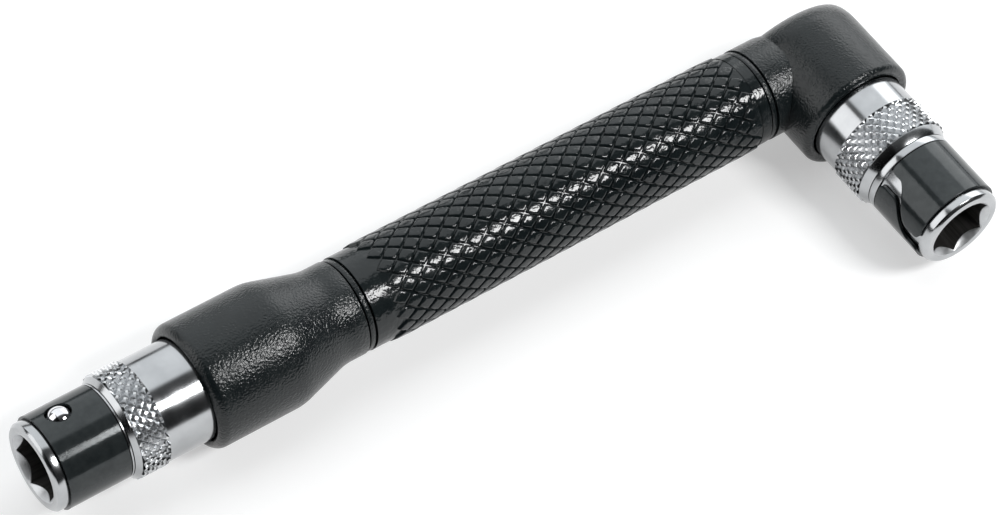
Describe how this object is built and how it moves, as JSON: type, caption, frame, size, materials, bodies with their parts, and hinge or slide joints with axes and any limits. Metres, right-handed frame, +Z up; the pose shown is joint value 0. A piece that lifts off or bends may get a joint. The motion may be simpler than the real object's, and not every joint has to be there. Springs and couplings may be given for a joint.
{
  "type": "bit wrench",
  "caption": "L-shaped bit wrench with a diamond-patterned grip and a spring-clip hexagon bit socket, with a knurled free-spinning sleeve, on each end.",
  "frame": {"origin": "centre of the bounding box, on the surface that the tool lies on", "axes": "+X along the handle away from the straight head, -Y out of the angled head, +Z up"},
  "size_m": [0.1054, 0.0334, 0.014],
  "materials": {
    "moulded_black": "fine grained",
    "grip_black": "semi-gloss",
    "chrome": "plated",
    "steel": "plain",
    "black_oxide": "blackened spring steel"
  },
  "bodies": {
    "handle": {"core_bar": "steel", "nose_shell": "moulded_black", "nose_ring": "moulded_black", "grip_sleeve": "grip_black", "elbow_ring": "moulded_black", "elbow_shell": "moulded_black", "straight_barrel": "chrome", "straight_thrust_washer": "steel", "straight_snap_ring": "steel", "straight_retaining_clip": "black_oxide", "straight_cross_pin": "steel", "angled_barrel": "chrome", "angled_thrust_washer": "steel", "angled_snap_ring": "steel", "angled_retaining_clip": "black_oxide", "angled_cross_pin": "steel"},
    "straight_spinner": {"straight_sleeve": "chrome"},
    "angled_spinner": {"angled_sleeve": "chrome"},
    "straight_ball": {"straight_detent_ball": "steel"},
    "angled_ball": {"angled_detent_ball": "steel"}
  },
  "joints": [
    {"name": "straight_sleeve_spin", "type": "hinge", "parent": "handle", "child": "straight_spinner", "pos_m": [-0.0385, 0.0097, 0.007], "axis": [-1, 0, 0], "continuous": true},
    {"name": "angled_sleeve_spin", "type": "hinge", "parent": "handle", "child": "angled_spinner", "pos_m": [0.0457, -0.0025, 0.007], "axis": [0, -1, 0], "continuous": true},
    {"name": "straight_ball_slide", "type": "slide", "parent": "handle", "child": "straight_ball", "axis": [0, 0.3256, 0.9455], "range_m": [0, 0.00045], "stiffness_N_per_m": 3000, "springref_m": -0.0005, "deforming": ["straight_retaining_clip"]},
    {"name": "angled_ball_slide", "type": "slide", "parent": "handle", "child": "angled_ball", "axis": [0.9994, 0, -0.0349], "range_m": [0, 0.00045], "stiffness_N_per_m": 3000, "springref_m": -0.0005, "deforming": ["angled_retaining_clip"]}
  ]
}
